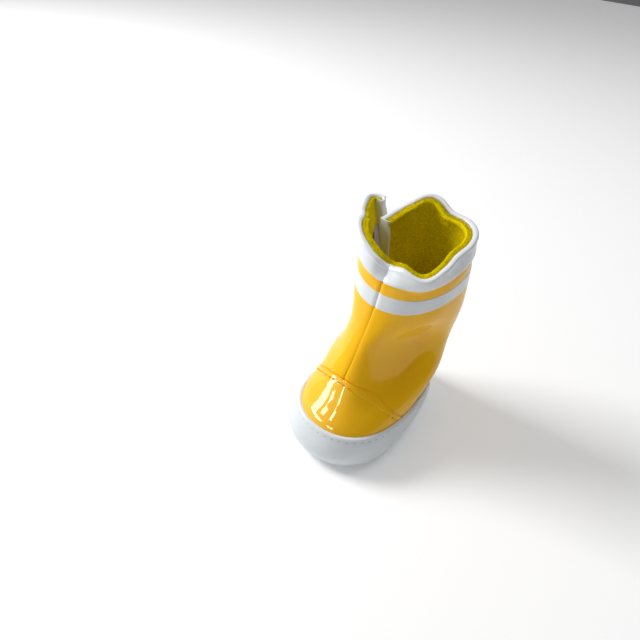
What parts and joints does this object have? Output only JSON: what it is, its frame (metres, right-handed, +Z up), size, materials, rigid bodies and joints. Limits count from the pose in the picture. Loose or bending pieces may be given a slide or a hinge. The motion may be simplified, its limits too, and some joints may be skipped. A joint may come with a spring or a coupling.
{
  "type": "rain boot",
  "caption": "Small soft rain boot with a toe cap, foxing strip, fleece lining, striped shaft and a side flap that opens on hook-and-loop tape.",
  "frame": {"origin": "on the ground, under the middle of the sole", "axes": "+Z up, toe towards -Y, outer side of the left foot towards +X"},
  "size_m": [0.0479, 0.075, 0.0896],
  "materials": {
    "yellow_upper": "glossy coated fabric",
    "white_trim": "satin coated fabric",
    "white_rubber": "satin",
    "sole_rubber": "matte, fine grain",
    "fleece": "brushed pile",
    "board": "matte fibre board",
    "hook_and_loop": "woven tape",
    "white_thread": "twisted thread",
    "orange_thread": "twisted thread"
  },
  "bodies": {
    "boot": {"outsole": "sole_rubber", "insole_board": "board", "footbed": "fleece", "foxing": "white_rubber", "toe_cap": "yellow_upper", "inner_quarter": "yellow_upper", "outer_quarter": "yellow_upper", "lining_foot": "fleece", "lining_shaft": "fleece", "binding_inner": "white_trim", "binding_outer": "white_trim", "stripe_inner": "white_trim", "stripe_outer": "white_trim", "loop_tape": "hook_and_loop", "foxing_stitches": "white_thread", "toe_cap_stitches": "orange_thread", "loop_tape_stitches": "orange_thread"},
    "flap": {"flap_panel": "yellow_upper", "flap_lining": "fleece", "flap_binding": "white_trim", "flap_stripe": "white_trim", "hook_tape": "hook_and_loop", "hook_tape_stitches": "orange_thread"}
  },
  "joints": [
    {"name": "flap_open", "type": "hinge", "parent": "boot", "child": "flap", "pos_m": [-0.01828, 0.00824, 0.035], "axis": [-0.0591, 0.0463, 0.9972], "range_deg": [-22, 96]}
  ]
}
